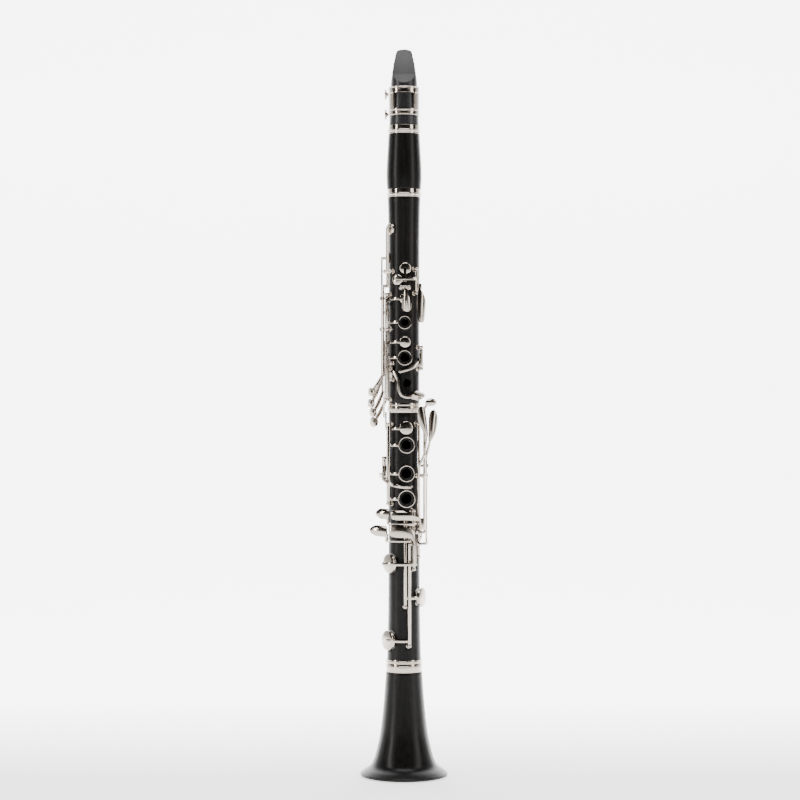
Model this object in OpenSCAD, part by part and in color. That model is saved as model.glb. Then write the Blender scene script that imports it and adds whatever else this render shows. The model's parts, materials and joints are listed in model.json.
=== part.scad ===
// Soprano clarinet in B flat, French (Boehm) system, 17 keys and 6 rings.
// The instrument stands upright: +Z runs along the bore towards the mouthpiece,
// the finger holes face -Y, and the origin is the centre of the bell's mouth.
// An angle called phi is measured round the bore from the front (-Y) towards +X.

/* [Lengths] */
// Height of the bell, from its mouth to the top of its socket
bell_h = 103.6; // [95:1:112]
// Visible length of the lower joint
lower_h = 235; // [234:0.5:236]
// Visible length of the upper joint
upper_h = 190.7; // [190:0.5:192]
// Length of the barrel
barrel_h = 65.8; // [60:0.5:68]
// Visible length of the mouthpiece
mouthpiece_h = 71.9; // [68:0.5:75]

/* [Bore and body] */
// Radius of the cylindrical bore
bore_r = 7.35; // [7.2:0.05:7.6]
// Outer radius of the joints where the keys are mounted
body_r = 14.1; // [13.8:0.1:14.6]
// Outer radius of the bell's rim
rim_r = 40.2; // [38:0.1:42]

/* [Keywork] */
// Outer radius of the large hinge tubes
tube_r = 1.9; // [1.7:0.1:2.0]
// Radius of the steel hinge rods
rod_r = 0.9; // [0.7:0.1:1.0]
// Radial running clearance of a key on its rod
rod_gap = 0.05; // [0.02:0.01:0.09]
// Distance from the bore's axis to the hinge axes
hinge_r = 18.6; // [18.4:0.1:18.8]
// Gap left between a closed pad and its seat
pad_gap = 0.15; // [0.1:0.05:0.3]
// How far the ring keys swing, in degrees
ring_swing = 4; // [2:0.5:4]

/* [Hidden] */
$fn = 64;

// Heights of the joints between the sections.
lower_z = bell_h;
upper_z = lower_z + lower_h;
barrel_z = upper_z + upper_h;
mouth_z = barrel_z + barrel_h;
tip_z = mouth_z + mouthpiece_h;

// Tenons: length, radius of the wood and radius over the cork.
bell_tenon = [20, 11.6, 12.4];
mid_tenon = [14, 11.0, 11.6];
top_tenon = [15, 10.6, 11.2];
// Clearance between a cork and its socket, and a socket's extra depth.
socket_gap = 0.06;
socket_spare = 1;

// Finishes.
module wood() color([0.05, 0.05, 0.055]) children();
module plate() color([0.80, 0.78, 0.74]) children();
module cork() color([0.72, 0.55, 0.38]) children();
module skin() color([0.88, 0.80, 0.66]) children();
module steel() color([0.45, 0.45, 0.47]) children();

// ---------------------------------------------------------------- placing

// A point at angle phi and distance r from the bore's axis, at height z.
function at(phi, r, z) = [r * sin(phi), -r * cos(phi), z];

// A frame on the outside at phi: x to the right, y up, z outwards from the axis.
module face(phi, z, r = 0)
    rotate([0, 0, phi]) translate([0, -r, z]) rotate([90, 0, 0]) children();

// Turns a key about an upright hinge at (phi, r).
module swung(phi, r, angle) {
    p = at(phi, r, 0);
    translate(p) rotate([0, 0, angle]) translate(-p) children();
}

// ---------------------------------------------------------------- shapes

// A tapered round bar between two points.
module bar(a, b, ra, rb) {
    v = b - a;
    l = norm(v);
    translate(a)
        rotate([0, acos(v[2] / l), atan2(v[1], v[0])])
            cylinder(h = l, r1 = ra, r2 = rb, $fn = 32);
}

// Bars through a list of points, with a ball a little larger at each point.
module chain(points, radii) {
    for (i = [0 : len(points) - 2])
        bar(points[i], points[i + 1], radii[i], radii[i + 1]);
    for (i = [0 : len(points) - 1])
        translate(points[i]) sphere(r = radii[i] * 1.03, $fn = 32);
}

// A ring of rectangular section about the bore's axis.
module band(r_in, r_out, z0, z1)
    translate([0, 0, z0]) difference() {
        cylinder(r = r_out, h = z1 - z0);
        translate([0, 0, -1]) cylinder(r = r_in, h = z1 - z0 + 2);
    }

// A plated end ring with a rounded bead at height zb.
module beaded_ring(r_in, r_out, z0, z1, zb)
    difference() {
        union() {
            translate([0, 0, z0]) cylinder(r = r_out, h = z1 - z0);
            rotate_extrude() translate([r_out - 0.35, zb]) circle(r = 1.1, $fn = 32);
        }
        translate([0, 0, z0 - 5]) cylinder(r = r_in, h = z1 - z0 + 10);
    }

// An upright hinge tube at (phi, r) from z0 to z1, bored for its rod.
module tube(phi, r, z0, z1, outer = tube_r)
    translate(at(phi, r, z0)) difference() {
        cylinder(r = outer, h = z1 - z0);
        translate([0, 0, -1]) cylinder(r = rod_r + rod_gap, h = z1 - z0 + 2);
    }

// The bore of an upright hinge, to cut through whatever is joined to a tube.
module tube_bore(phi, r, z0, z1)
    translate(at(phi, r, z0 - 3)) cylinder(r = rod_r + rod_gap, h = z1 - z0 + 6);

// A crosswise hinge tube, in a face frame centred on its axis.
cross_half = 2.2;
cross_r = 1.7;
module cross_tube()
    rotate([0, 90, 0]) cylinder(r = cross_r, h = 2 * cross_half, center = true);

module cross_bore()
    rotate([0, 90, 0]) cylinder(r = rod_r + rod_gap, h = 30, center = true);

// ---------------------------------------------------------------- tone holes and pads

// Outer radius of a joint at height z: waisted at the middle, flared to both sockets.
function flare(z) = 1.0 * exp(-(barrel_z - z) / 22) + 1.65 * exp(-(z - lower_z) / 40);
function joint_r(z) = body_r + flare(z);

// A padded hole is [phi, z, hole radius, pad radius].
a_hole = [5, 464, 3.1, 4.7];
gsharp_hole = [-23, 453.6, 2.7, 4.3];
vent_hole = [3, 436.2, 2.6, 4.0];
second_vent_hole = [5, 396.8, 2.9, 4.5];
cross_hole = [104, 381, 3.0, 4.4];
csharp_hole = [-88, 372, 2.7, 3.9];
register_hole = [180, 484, 1.6, 3.4];
side_holes = [
    [-57, 500.4, 3.0, 4.8], [-87, 474, 3.0, 4.6], [-105.5, 424.5, 3.0, 4.4], [-125, 398, 2.6, 4.0]
];
lower_vent_hole = [8, 318.7, 3.6, 5.6];
sliver_hole = [-112, 281, 3.4, 5.0];
aflat_hole = [101, 222.5, 4.6, 7.2];
fsharp_hole = [-60, 195.1, 5.2, 8.3];
f_hole = [76, 163.9, 5.4, 8.3];
e_hole = [-62, 124.9, 5.6, 8.5];

upper_pads = concat(
    [a_hole, gsharp_hole, vent_hole, second_vent_hole, cross_hole, csharp_hole, register_hole],
    side_holes
);
lower_pads = [lower_vent_hole, sliver_hole, aflat_hole, fsharp_hole, f_hole, e_hole];

// A finger hole is [phi, z, hole radius, collar radius, collar height above the body].
first_finger = [3, 414.8, 3.2, 4.5, 2.6];
second_finger = [3, 382.7, 3.9, 5.3, 2.6];
third_finger = [11, 359.7, 3.7, 0, 0];
thumb_finger = [180, 403.5, 4.2, 5.2, 2.2];
lower_fingers = [[8, 303.3, 4.1, 5.9, 2.7], [8, 277.3, 4.3, 5.9, 2.7], [8, 254.3, 4.6, 6.4, 2.7]];
upper_fingers = [first_finger, second_finger, third_finger, thumb_finger];

// Plane of a padded hole's seat, as a distance from the bore's axis.
function seat_r(h) = sqrt(pow(joint_r(h[1]), 2) - pow(h[2] + 1, 2)) - 0.1;
// Thickness of a pad, and how deep it sits in its cup.
pad_t = 1.9;
cup_lip = 1.5;
function cup_floor(h) = seat_r(h) + pad_gap + pad_t;
function cup_top(h) = cup_floor(h) + 0.9;

// What a padded hole takes out of the wood.
module pad_seat(h)
    face(h[0], h[1]) {
        cylinder(r = h[2], h = 30);
        translate([0, 0, seat_r(h)]) cylinder(r = h[2] + 1.01, h = 10);
        translate([0, 0, seat_r(h) - 0.5]) difference() {
            cylinder(r = h[3] + 1.2, h = 10);
            translate([0, 0, -1]) cylinder(r = h[2] + 1, h = 12);
        }
    }

// The cup of a closed key over its hole, the room its pad needs, and the pad glued into it.
module cup(h)
    face(h[0], h[1]) translate([0, 0, cup_floor(h) - cup_lip]) {
        cylinder(r = h[3] + 0.45, h = cup_lip + 0.3);
        translate([0, 0, cup_lip + 0.3]) cylinder(r1 = h[3] + 0.45, r2 = h[3] * 0.62, h = 0.6);
    }

module pad_room(h)
    face(h[0], h[1]) translate([0, 0, cup_floor(h) - 4]) cylinder(r = h[3], h = 4);

module pad(h)
    skin() face(h[0], h[1]) translate([0, 0, seat_r(h) + pad_gap]) cylinder(r = h[3], h = pad_t);

// A finger ring round a collar, in the pressed position, its middle moved sideways by off.
ring_h = 1.5;
module ring(f, width, off, top = 0.25)
    face(f[0], f[1], joint_r(f[1]) + f[4] + top) translate([off, 0, -ring_h]) difference() {
        cylinder(r = f[3] + 0.6 + width, h = ring_h);
        translate([0, 0, -1]) cylinder(r = f[3] + 0.6, h = ring_h + 2);
    }

// ---------------------------------------------------------------- hinge lines

// Upright hinge lines are [phi, r, outer radius of the tubes].
thin_r = 1.45;
upper_left = [-57.5, hinge_r, tube_r];
csharp_line = [-45, 16.8, thin_r];
gsharp_line = [38, hinge_r, thin_r];
cross_line = [56, hinge_r, tube_r];
thumb_line = [-150, hinge_r, tube_r];
lower_left = [-49.5, hinge_r, tube_r];
sliver_line = [-80, hinge_r, tube_r];
f_pad_line = [4, hinge_r, thin_r];
e_line = [15.2, hinge_r, thin_r];
fsharp_line = [28, hinge_r, thin_r];
aflat_line = [45, hinge_r, thin_r];

// Heights of the posts on each upright hinge line, from the bottom.
upper_left_posts = [344.6, 408.8, 440.4];
csharp_posts = [362.7, 377.5];
gsharp_posts = [441.6, 463.2];
cross_posts = [372.6, 392.2];
thumb_posts = [391.2, 440];
lower_left_posts = [249.8, 322];
sliver_posts = [272, 291];
f_pad_posts = [156.3, 236.4];
e_posts = [120.5, 219.2];
fsharp_posts = [190.2, 227.5, 243.2];
aflat_posts = [201.6, 232, 322.4];
// A rod is [line, heights of its posts].
upper_rods = [
    [upper_left, upper_left_posts],
    [csharp_line, csharp_posts],
    [gsharp_line, gsharp_posts],
    [cross_line, cross_posts],
    [thumb_line, thumb_posts]
];
lower_rods = [
    [lower_left, lower_left_posts],
    [sliver_line, sliver_posts],
    [f_pad_line, f_pad_posts],
    [e_line, e_posts],
    [fsharp_line, fsharp_posts],
    [aflat_line, aflat_posts]
];
// Half the width of a post's head along its rod, and the gap to the tube beside it.
post_half = 1.5;
end_gap = 0.15;
post_clear = post_half + end_gap;

// A crosswise hinge is [phi, z, r].
a_hinge = [3, 446.6, 17.8];
register_hinge = [180, 462, 18.2];
side_hinges = [[-57, 461.3, 18.3], [-87, 437, 20.4], [-105.5, 409, 20.4], [-125, 386, 20.4]];
cross_hinges = concat([a_hinge, register_hinge], side_hinges);
left_fsharp_hinge = [66, 275.1, 20.4];
left_e_hinge = [92, 284, 20.4];
lower_crosses = [left_fsharp_hinge, left_e_hinge];

// How far a post's head stands out past its tubes, radii of its flange and screw, and the
// length of the screw.
head_proud = 0.4;
flange_r = 2.3;
shank_r = 1.1;
shank_l = 3.6;
// Width of a crosswise hinge's post, and its distance from the middle of the key.
cross_w = 2.2;
cross_step = cross_half + end_gap + cross_w / 2;

module post_stem(reach, surface, foot = 1.9, neck = 1.2) {
    translate([0, 0, surface - 0.4]) cylinder(r = flange_r, h = 1.1, $fn = 32);
    translate([0, 0, surface + 0.6])
        cylinder(r1 = foot, r2 = neck, h = max(0.1, reach - surface - 1.4), $fn = 32);
    translate([0, 0, surface - shank_l]) cylinder(r = shank_r, h = shank_l, $fn = 24);
}

// A post's head, cut flat on the two sides the rod passes through along y or x.
module post_head(size, radius)
    intersection() {
        sphere(r = radius, $fn = 32);
        cube(size, center = true);
    }

module upright_posts(rods)
    for (rod = rods, z = rod[1])
        face(rod[0][0], z) difference() {
            union() {
                post_stem(rod[0][1], joint_r(z));
                translate([0, 0, rod[0][1]]) post_head([9, 2 * post_half, 9], rod[0][2] + head_proud);
            }
            translate([0, 0, rod[0][1]]) rotate([90, 0, 0])
                cylinder(r = rod_r, h = 9, center = true);
        }

module crosswise_posts(hinges)
    for (hinge = hinges, side = [-1, 1])
        face(hinge[0], hinge[1]) translate([side * cross_step, 0, 0]) difference() {
            union() {
                post_stem(hinge[2], joint_r(hinge[1]) - 0.5, 1.5, 0.9);
                translate([0, 0, hinge[2]]) post_head([cross_w, 9, 9], cross_r + head_proud);
            }
            translate([0, 0, hinge[2]]) rotate([0, 90, 0])
                cylinder(r = rod_r, h = 9, center = true);
        }

// The recess and the screw hole that a post needs in the wood.
module post_hole(surface) {
    translate([0, 0, surface - 0.4]) cylinder(r = flange_r, h = 6, $fn = 32);
    translate([0, 0, surface - shank_l]) cylinder(r = shank_r, h = shank_l, $fn = 24);
}

module upright_post_holes(rods)
    for (rod = rods, z = rod[1])
        face(rod[0][0], z) post_hole(joint_r(z));

module crosswise_post_holes(hinges)
    for (hinge = hinges, side = [-1, 1])
        face(hinge[0], hinge[1]) translate([side * cross_step, 0, 0])
            post_hole(joint_r(hinge[1]) - 0.5);

// ---------------------------------------------------------------- body sections

// A smooth curve through points, as a list of points, n to each gap.
function curve_point(p, i, t) =
    let (a = p[max(i - 1, 0)], b = p[i], c = p[i + 1], d = p[min(i + 2, len(p) - 1)])
    0.5 * ((2 * b) + (c - a) * t + (2 * a - 5 * b + 4 * c - d) * t * t
        + (3 * b - a - 3 * c + d) * t * t * t);
function curve(p, n) = concat(
    [for (i = [0 : len(p) - 2], k = [0 : n - 1]) curve_point(p, i, k / n)], [p[len(p) - 1]]
);

// Outer radii of the bell from its rim to the ring at its top, as [radius, height].
bell_outside = [
    [rim_r, 2.6], [36.2, 5.8], [31.2, 9.3], [28.6, 13.3], [26, 20.7], [22.4, 36],
    [20.2, 52], [18.1, 74], [16.6, 95.5]
];
bell_inside = [[33.5, 0], [27.5, 6], [22, 18], [17.5, 40], [14, 62], [11.8, 82.5]];

module bell()
    wood() difference() {
        rotate_extrude(convexity = 4) polygon(concat(
            [[36.6, 0], [39.2, 0.7]],
            curve(bell_outside, 4),
            [[15.9, bell_h - 8], [15.9, bell_h], [11.8, bell_h]],
            [for (i = [len(bell_inside) - 1 : -1 : 0]) bell_inside[i]]
        ));
        translate([0, 0, bell_h - bell_tenon[0] - socket_spare])
            cylinder(r = bell_tenon[2] + socket_gap, h = bell_tenon[0] + 5);
    }

module bell_ring()
    plate() beaded_ring(15.9, 16.3, bell_h - 8, bell_h, bell_h - 2.6);

// A joint's outline: tenon at the bottom, waisted wall, straight ends.
function wall(z0, z1) = [for (i = [0 : 24]) let (z = z0 + (z1 - z0) * i / 24) [joint_r(z), z]];

module finger_collars(fingers)
    for (f = fingers)
        if (f[4] > 0)
            face(f[0], f[1], 0) cylinder(r = f[3], h = joint_r(f[1]) + f[4]);

module finger_bores(fingers)
    for (f = fingers)
        face(f[0], f[1]) {
            cylinder(r = f[2], h = 30);
            translate([0, 0, joint_r(f[1]) + f[4] - 0.7]) cylinder(r1 = f[2], r2 = f[2] + 0.9, h = 0.9);
        }

// Radius of the lower joint's bore at its end, where it flares to meet the bell.
flare_r = 10.6;
lower_socket = mid_tenon[0] + socket_spare;
module lower_joint()
    wood() difference() {
        union() {
            rotate_extrude(convexity = 4) polygon(concat(
                [[0, lower_z - bell_tenon[0]], [bell_tenon[1], lower_z - bell_tenon[0]],
                 [bell_tenon[1], lower_z]],
                wall(lower_z, upper_z - 6),
                [[13.5, upper_z - 6], [13.5, upper_z], [0, upper_z]]
            ));
            finger_collars(lower_fingers);
        }
        translate([0, 0, lower_z - bell_tenon[0] - 1]) cylinder(r1 = flare_r, r2 = bore_r, h = 70);
        translate([0, 0, lower_z]) cylinder(r = bore_r, h = lower_h + 1);
        translate([0, 0, upper_z - lower_socket]) cylinder(r = mid_tenon[2] + socket_gap, h = 20);
        for (h = lower_pads) pad_seat(h);
        finger_bores(lower_fingers);
        upright_post_holes(lower_rods);
        crosswise_post_holes(lower_crosses);
        face(180, rest_z, plate_r - 5) for (side = [-1, 1])
            translate([0, side * 9.5, 0]) cylinder(r = 1.1, h = 6);
    }

module upper_joint()
    wood() difference() {
        union() {
            rotate_extrude(convexity = 4) polygon(concat(
                [[0, upper_z - mid_tenon[0]], [mid_tenon[1], upper_z - mid_tenon[0]],
                 [mid_tenon[1], upper_z], [13.6, upper_z], [13.6, upper_z + 2.6]],
                wall(upper_z + 2.6, barrel_z),
                [[top_tenon[1], barrel_z], [top_tenon[1], barrel_z + top_tenon[0]],
                 [0, barrel_z + top_tenon[0]]]
            ));
            finger_collars([first_finger, second_finger]);
        }
        translate([0, 0, upper_z - 20]) cylinder(r = bore_r, h = upper_h + 50);
        for (h = upper_pads) pad_seat(h);
        finger_bores([first_finger, second_finger, third_finger]);
        face(thumb_finger[0], thumb_finger[1]) cylinder(r = thumb_finger[3], h = 30);
        face(register_hole[0], register_hole[1]) cylinder(r = register_hole[2] + 1, h = 30);
        upright_post_holes(upper_rods);
        crosswise_post_holes(cross_hinges);
    }

// Plated rings: the lower joint's two and the thin one round the upper joint's foot.
module joint_rings()
    plate() {
        beaded_ring(joint_r(lower_z), 16.2, lower_z + 0.05, lower_z + 3.6, lower_z + 1.8);
        beaded_ring(13.5, 14.7, upper_z - 6, upper_z, upper_z - 3);
        band(13.6, 14.5, upper_z + 0.1, upper_z + 2.6);
    }

// Cork sleeves on the three wooden tenons.
module tenon_corks()
    cork() {
        band(bell_tenon[1], bell_tenon[2], lower_z - bell_tenon[0] + 2, lower_z - 2);
        band(mid_tenon[1], mid_tenon[2], upper_z - mid_tenon[0] + 2, upper_z - 2);
        band(top_tenon[1], top_tenon[2], barrel_z + 2, barrel_z + top_tenon[0] - 2);
    }

// The register tube, standing into the bore, and the thumb hole's tube.
module tone_hole_tubes()
    plate() {
        face(register_hole[0], register_hole[1]) difference() {
            translate([0, 0, 4]) cylinder(r = register_hole[2] + 1, h = seat_r(register_hole) - 4);
            cylinder(r = register_hole[2], h = 30);
        }
        face(thumb_finger[0], thumb_finger[1]) difference() {
            translate([0, 0, bore_r + 1])
                cylinder(r = thumb_finger[3], h = body_r + thumb_finger[4] - bore_r - 1);
            cylinder(r = thumb_finger[2], h = 30);
        }
    }

module upper_posts()
    plate() {
        upright_posts(upper_rods);
        crosswise_posts(cross_hinges);
    }

module lower_posts()
    plate() {
        upright_posts(lower_rods);
        crosswise_posts(lower_crosses);
    }

// Steel rods through the posts, one to each hinge line.
module hinge_rods()
    steel() {
        for (rod = concat(upper_rods, lower_rods)) {
            line = rod[0];
            z0 = rod[1][0] - post_half;
            z1 = rod[1][len(rod[1]) - 1] + post_half;
            translate(at(line[0], line[1], z0)) cylinder(r = rod_r, h = z1 - z0);
        }
        for (hinge = concat(cross_hinges, lower_crosses))
            face(hinge[0], hinge[1], hinge[2]) rotate([0, 90, 0])
                cylinder(r = rod_r, h = 2 * cross_step + cross_w, center = true);
    }

// ---------------------------------------------------------------- barrel and mouthpiece

barrel_outside = [[15.5, 7.6], [16.15, 19], [15.9, 30], [15.1, 44], [14.3, 58.2]];
module barrel()
    wood() difference() {
        rotate_extrude(convexity = 4) polygon(concat(
            [[0, barrel_z], [14.6, barrel_z], [14.6, barrel_z + 7.6]],
            curve([for (p = barrel_outside) [p[0], p[1] + barrel_z]], 4),
            [[13.6, mouth_z - 7.6], [13.6, mouth_z], [0, mouth_z]]
        ));
        translate([0, 0, barrel_z - 1]) cylinder(r = bore_r, h = barrel_h + 2);
        translate([0, 0, barrel_z - 1])
            cylinder(r = top_tenon[2] + socket_gap, h = top_tenon[0] + socket_spare + 1);
        translate([0, 0, mouth_z - mouth_tenon[0] - socket_spare])
            cylinder(r = mouth_tenon[2] + socket_gap, h = 30);
    }

module barrel_rings()
    plate() {
        beaded_ring(14.6, 15.25, barrel_z + 0.2, barrel_z + 7.6, barrel_z + 2.7);
        beaded_ring(13.6, 14.4, mouth_z - 7.6, mouth_z, mouth_z - 5);
    }

// The mouthpiece's tenon, the foot of its beak, and the flat table the reed lies on.
mouth_tenon = [16, 10.2, 10.9];
beak_low = 38.5;
table_y = 9.9;
mouth_outside = [[13.5, 0], [13.4, 4], [13, 14], [12.4, 30], [12, 46], [12, mouthpiece_h]];
// Half widths seen from the front, from the shoulders to the rounded tip.
mouth_sides = [
    [14, -20], [14, 30], [11.3, 44], [9.5, 58], [7.4, 68.4], [6.4, 70.5], [4, 71.5], [0, mouthpiece_h]
];
reed_sides = [[6.4, -2], [6.4, 66.6], [5.6, 69.3], [3.5, 70.7], [0, 71.2]];
// The slope of the beak and the chamber behind it, as [distance in front of the axis, height].
beak_slope = [[12.4, 38], [5, 47.5], [-3, 59], [-8.8, 69.6], [-9.5, 73]];
chamber = [
    [5, 14], [5, 33], [-0.5, 47], [-5.8, 58.5], [-8.6, 66], [-12, 66], [-12, 34], [-5, 30], [-5, 14]
];

// A solid as deep as the mouthpiece with this outline from the front.
module front_shape(sides)
    translate([0, 20, mouth_z]) rotate([90, 0, 0]) linear_extrude(height = 40)
        polygon(concat(sides, [for (i = [len(sides) - 2 : -1 : 0]) [-sides[i][0], sides[i][1]]]));

// A solid across the mouthpiece with this outline from the side.
module side_shape(outline, width)
    translate([width / 2, 0, mouth_z]) rotate([90, 0, -90]) linear_extrude(height = width)
        polygon(outline);

module mouthpiece()
    color([0.07, 0.07, 0.08]) difference() {
        intersection() {
            rotate_extrude(convexity = 4) polygon(concat(
                [[0, mouth_z - mouth_tenon[0]], [mouth_tenon[1], mouth_z - mouth_tenon[0]],
                 [mouth_tenon[1], mouth_z]],
                curve([for (p = mouth_outside) [p[0], p[1] + mouth_z]], 4),
                [[0, tip_z]]
            ));
            front_shape(mouth_sides);
        }
        side_shape(concat(curve(beak_slope, 5), [[40, 73], [40, 38]]), 60);
        translate([-30, table_y, mouth_z + 4]) cube([60, 30, 80]);
        translate([0, 0, mouth_z - mouth_tenon[0] - 1]) cylinder(r = bore_r, h = mouth_tenon[0] + 17);
        side_shape(chamber, 9.2);
    }

module mouthpiece_cork()
    cork() band(mouth_tenon[1], mouth_tenon[2], mouth_z - mouth_tenon[0] + 2, mouth_z - 1.5);

// The cane reed: a flat face on the table, a rounded bark and a scraped, thinning vamp.
reed_low = 4.6;
reed_t = 3;
module reed()
    color([0.86, 0.74, 0.45]) intersection() {
        side_shape([
            [-table_y - 0.02, reed_low], [-table_y - reed_t, reed_low], [-table_y - reed_t, 34],
            [-table_y - 1.5, 50], [-table_y - 0.25, mouthpiece_h], [-table_y - 0.02, mouthpiece_h]
        ], 20);
        translate([0, 1.5, mouth_z]) cylinder(r = 11.4, h = 80);
        front_shape(reed_sides);
    }

// ---------------------------------------------------------------- ligature

lig_low = 9.1;
lig_high = 35.3;
screw_heights = [31.1, 12.6];
screw_y = 16.2;
screw_r = 1.2;
lig_r = 13.6;
window_low = 14.4;
window_high = 29.5;
window_w = 18.6;

module lig_tube(radius, grow)
    translate([0, 0.3, mouth_z + lig_low]) cylinder(r = radius + grow, h = lig_high - lig_low);

module ligature()
    plate() difference() {
        union() {
            lig_tube(lig_r, 0.6);
            for (z = [lig_low + 0.6, lig_low + 4.6, lig_high - 5.6, lig_high - 0.6])
                translate([0, 0.3, mouth_z + z]) rotate_extrude()
                    translate([lig_r + 0.5, 0]) circle(r = 0.6, $fn = 24);
            lig_frame(0.8, 1.5);
            for (z = screw_heights, side = [-1, 1])
                translate([side * 3.4, lig_r - 0.5, mouth_z + z]) rotate([-90, 0, 0])
                    cylinder(r = 2.3, h = 4.6);
        }
        lig_tube(lig_r, -0.01);
        lig_frame(-0.2, 6);
        for (z = screw_heights) translate([0, screw_y, mouth_z + z]) rotate([0, 90, 0])
            cylinder(r = screw_r + 0.05, h = 20, center = true);
    }

// The window's outline in front of the band, grown and proud by so much.
module lig_frame(grow, proud)
    face(0, mouth_z + (window_low + window_high) / 2)
        intersection() {
            linear_extrude(height = 30)
                square([window_w + 2 * grow, window_high - window_low + 2 * grow], center = true);
            rotate([-90, 0, 0]) translate([0, -0.3, 0]) difference() {
                cylinder(r = lig_r + proud, h = 60, center = true);
                cylinder(r = lig_r - 3, h = 70, center = true);
            }
        }

module ligature_screw(z)
    plate() translate([0, screw_y, mouth_z + z]) rotate([0, -90, 0]) {
        translate([0, 0, -7.4]) cylinder(r = screw_r, h = 22.5);
        translate([0, 0, 15]) cylinder(r = 2.2, h = 1.2);
        translate([0, 0, 16]) cylinder(r = 4.75, h = 1.8);
    }

module ligature_screw_upper() ligature_screw(screw_heights[0]);
module ligature_screw_lower() ligature_screw(screw_heights[1]);

// ---------------------------------------------------------------- thumb rest

rest_z = 298;
plate_r = joint_r(rest_z - 12) + 0.02;
module thumb_rest_plate()
    plate() face(180, rest_z) difference() {
        union() {
            translate([-5, -12, plate_r - 1]) cube([10, 24, 2.6]);
            for (side = [-1, 1]) translate([0, side * 9.5, plate_r - 5]) cylinder(r = 1.1, h = 6.5);
        }
        difference() {
            rotate([90, 0, 0]) cylinder(r = plate_r, h = 60, center = true);
            for (side = [-1, 1]) translate([0, side * 9.5, 0]) cylinder(r = 1.1, h = 30);
        }
    }

hook = [[0, 0], [-0.4, 6], [-2.2, 12], [-6, 17], [-6.9, 15.6], [-4, 11], [-2, 6], [-1.8, 0]];
module thumb_rest()
    plate() face(180, rest_z) difference() {
        union() {
            translate([-6.5, -5, plate_r + 1.62]) cube([13, 12, 1.8]);
            for (side = [-1, 1])
                translate([side * 5.85 - 0.65, -5, plate_r - 0.6]) cube([1.3, 12, 3]);
            translate([-6.5, -4.5, plate_r + 3.3]) rotate([90, 0, 90]) linear_extrude(height = 13)
                polygon(closed_curve(hook, 4));
        }
        translate([0, 4, plate_r]) cylinder(r = 1.15, h = 12);
    }

module thumb_rest_screw()
    plate() face(180, rest_z) translate([0, 4, 0]) {
        translate([0, 0, plate_r + 1.62]) cylinder(r = 1.1, h = 3);
        translate([0, 0, plate_r + 3.44]) cylinder(r = 2.6, h = 1.6);
    }

// ---------------------------------------------------------------- parts of keys

// A flat strip bent round the bore between two angles, from r outwards.
module arc(phi0, phi1, r, z, w, t = 1.5)
    translate([0, 0, z - w / 2]) rotate([0, 0, phi0 - 90])
        rotate_extrude(angle = phi1 - phi0) translate([r, 0]) square([t, w]);

// A block standing between two distances from the bore.
module web(phi, r0, r1, z, w, t = 2)
    face(phi, z, r0) translate([-t / 2, -w / 2, 0]) cube([t, w, r1 - r0]);

// A round pillar between two distances from the bore.
module spoke(phi, r0, r1, z, radius = 1.4)
    face(phi, z, r0) cylinder(r = radius, h = r1 - r0, $fn = 32);

// A plate with a smooth closed outline, in a face frame.
function closed_curve(p, n) = let (m = len(p)) [
    for (i = [0 : m - 1], k = [0 : n - 1])
        let (a = p[(i + m - 1) % m], b = p[i], c = p[(i + 1) % m], d = p[(i + 2) % m], t = k / n)
        0.5 * ((2 * b) + (c - a) * t + (2 * a - 5 * b + 4 * c - d) * t * t
            + (3 * b - a - 3 * c + d) * t * t * t)
];
module flat_plate(outline, phi, r, t = 1.5)
    face(phi, 0, r) linear_extrude(height = t) polygon(closed_curve(outline, 4));

// Rounds the outside of a plate at (phi, r + t) over a line through [x, z] in its face frame,
// the line turned from upright by so much.
module crown(phi, top, middle, radius, turn = 0)
    intersection() {
        children();
        face(phi, 0, top - radius) translate([middle[0], middle[1], 0]) rotate([90, 0, turn])
            cylinder(r = radius, h = 80, center = true);
    }

// A touch facing phi at distance r, its outline given as [x, z] seen from the front, its
// outside crowned over the line through middle.
module touch(outline, phi, r, middle, radius, turn = 0, t = 2.3) {
    function across(x) = (x - (r + t) * sin(phi)) / cos(phi);
    crown(phi, r + t, [across(middle[0]), middle[1]], radius, turn)
        flat_plate([for (p = outline) [across(p[0]), p[1]]], phi, r, t);
}

// Rounds the outside of a plate bent round the bore, about height z.
module bent_crown(top, z, radius)
    intersection() {
        children();
        rotate_extrude() translate([0, z]) union() {
            translate([top - radius, 0]) circle(r = radius);
            translate([1, -radius]) square([top - radius - 1, 2 * radius]);
        }
    }

// A plate with a smooth closed outline seen from phi, bent round the bore.
module bent_plate(outline, phi, r, t = 1.5)
    intersection() {
        face(phi, 0) linear_extrude(height = 40) polygon(closed_curve(outline, 4));
        band(r, r + t, 100, 500);
    }

// The arm from an upright hinge line to a cup, and the web that joins it to the tube.
module cup_arm(line, h, r, z, w = 2.4, t = 1.5) {
    arc(min(line[0], h[0]), max(line[0], h[0]), r, z, w, t);
    web(line[0], r + 0.3, line[1], z, w - 0.2);
}

// The angle from the middle of a finger ring to the middle of its rim.
function ring_reach(f) = asin((f[3] + 0.6 + ring_w / 2) / 17.4);
module ring_arm(line, f, z, w = 2.4) arc(line[0], f[0] - ring_reach(f), 16.8, z, w);

// The tube of a key between posts i and i + 1 of a line, and the bore through it.
module key_tube(line, posts, i = 0)
    tube(line[0], line[1], posts[i] + post_clear, posts[i + 1] - post_clear, line[2]);
module key_bore(line, posts, i = 0) tube_bore(line[0], line[1], posts[i], posts[i + 1]);

// Width of a finger ring, and how far its middle moves away from the hinge line.
ring_w = 1.2;
ring_off = 0.26;

// How far each key swings, in degrees, from rest.
second_swing = ring_swing;
lower_swing = ring_swing * 0.72;
thumb_swing = ring_swing * 1.25;
e_swing = 8;
f_swing = 5;
f_pad_swing = 9;
fsharp_swing = 7.5;

// ---------------------------------------------------------------- upper keys

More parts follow.
